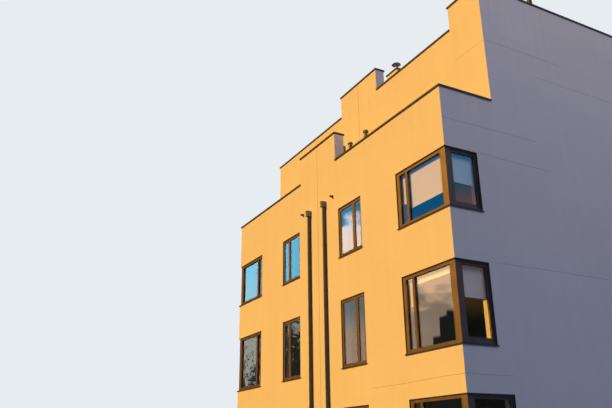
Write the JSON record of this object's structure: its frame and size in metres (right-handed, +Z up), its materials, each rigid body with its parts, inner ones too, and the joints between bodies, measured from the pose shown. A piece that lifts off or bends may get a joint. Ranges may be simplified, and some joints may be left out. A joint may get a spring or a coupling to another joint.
{
  "type": "apartment building",
  "caption": "Rendered modern apartment block with stepped parapets, wrap-around corner windows, a roof terrace and a set-back top storey.",
  "frame": {"origin": "on the ground, under the middle of the footprint", "axes": "+Z up; the front with the terrace faces -Y; +X to the right seen from the front"},
  "size_m": [13.38, 11.2, 16.3466],
  "materials": {
    "render": "matte",
    "concrete": "matte",
    "dark_metal": "satin",
    "frame_metal": "satin",
    "door_panel": "satin",
    "steel": "satin",
    "glass": "polished",
    "blind_cloth": "matte",
    "blind_metal": "satin",
    "pipe_metal": "satin",
    "vent_metal": "satin"
  },
  "bodies": {
    "root": {"front_wall": "render", "rear_wall": "render", "right_gable_wall": "render", "left_gable_wall": "render", "set_back_wall": "render", "chimney": "render", "ground_slab": "concrete", "first_floor_slab": "concrete", "second_floor_slab": "concrete", "terrace_slab": "concrete", "roof_slab": "concrete", "terrace_coping": "dark_metal", "roof_coping": "dark_metal", "roof_corner_coping": "dark_metal", "terrace_step_coping": "dark_metal", "roof_step_coping": "dark_metal", "chimney_coping": "dark_metal", "ground_corner_windows": "frame_metal", "lower_corner_window_right": "frame_metal", "lower_corner_window_left": "frame_metal", "upper_corner_window_right": "frame_metal", "upper_corner_window_left": "frame_metal", "lower_window_right": "frame_metal", "lower_window_left": "frame_metal", "upper_window_right": "frame_metal", "upper_window_left": "frame_metal", "ground_rear_windows": "frame_metal", "lower_rear_windows": "frame_metal", "upper_rear_windows": "frame_metal", "top_rear_windows": "frame_metal", "entrance_frames": "frame_metal", "terrace_door_frames": "frame_metal", "entrance_doors": "door_panel", "entrance_handles": "steel", "ground_glass": "glass", "lower_glass": "glass", "upper_glass": "glass", "top_glass": "glass", "ground_sills": "dark_metal", "lower_sills": "dark_metal", "upper_sills": "dark_metal", "rear_sills": "dark_metal", "blind_cloths": "blind_cloth", "blind_rollers": "blind_metal", "downpipe_right": "pipe_metal", "downpipe_left": "pipe_metal", "hopper_right": "pipe_metal", "hopper_left": "pipe_metal", "pipe_brackets": "pipe_metal", "overflow_spouts": "pipe_metal", "terrace_vents": "vent_metal", "roof_flues": "vent_metal", "chimney_cowl": "vent_metal"}
  },
  "joints": []
}
